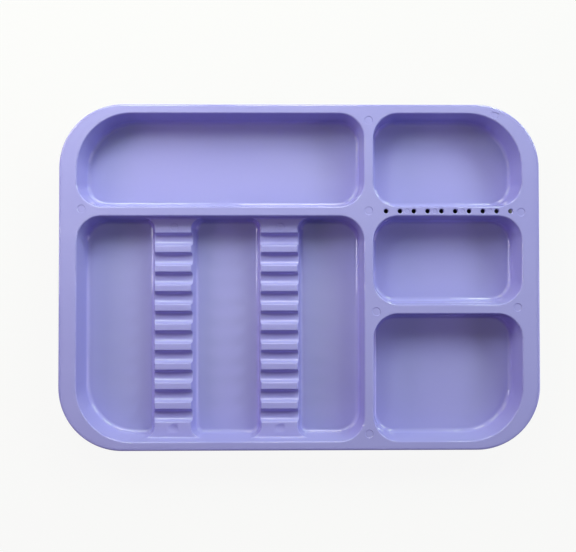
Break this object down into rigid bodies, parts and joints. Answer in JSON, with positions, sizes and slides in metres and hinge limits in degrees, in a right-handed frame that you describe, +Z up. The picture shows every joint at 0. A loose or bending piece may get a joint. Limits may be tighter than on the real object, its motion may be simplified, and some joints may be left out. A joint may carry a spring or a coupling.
{
  "type": "divided dental set-up tray",
  "caption": "Shallow divided dental set-up tray with a down-turned lip, open compartments, notched instrument rests and a row of bur holes.",
  "frame": {"origin": "centre of the bounding box's bottom, on the table under the tray's middle", "axes": "+X along the length, towards the short compartments; +Y across, towards the long compartment; +Z up, out of the open compartments"},
  "size_m": [0.3398, 0.2444, 0.0222],
  "materials": {
    "lavender_plastic": "glossy injection-moulded lavender plastic, faintly uneven"
  },
  "bodies": {
    "root": {"rim_land": "lavender_plastic", "outer_lip": "lavender_plastic", "centre_divider_land": "lavender_plastic", "upper_divider_land": "lavender_plastic", "bur_hole_land": "lavender_plastic", "lower_divider_land": "lavender_plastic", "long_tub": "lavender_plastic", "instrument_tub": "lavender_plastic", "upper_right_tub": "lavender_plastic", "middle_right_tub": "lavender_plastic", "lower_right_tub": "lavender_plastic", "left_rest": "lavender_plastic", "right_rest": "lavender_plastic"}
  },
  "joints": []
}
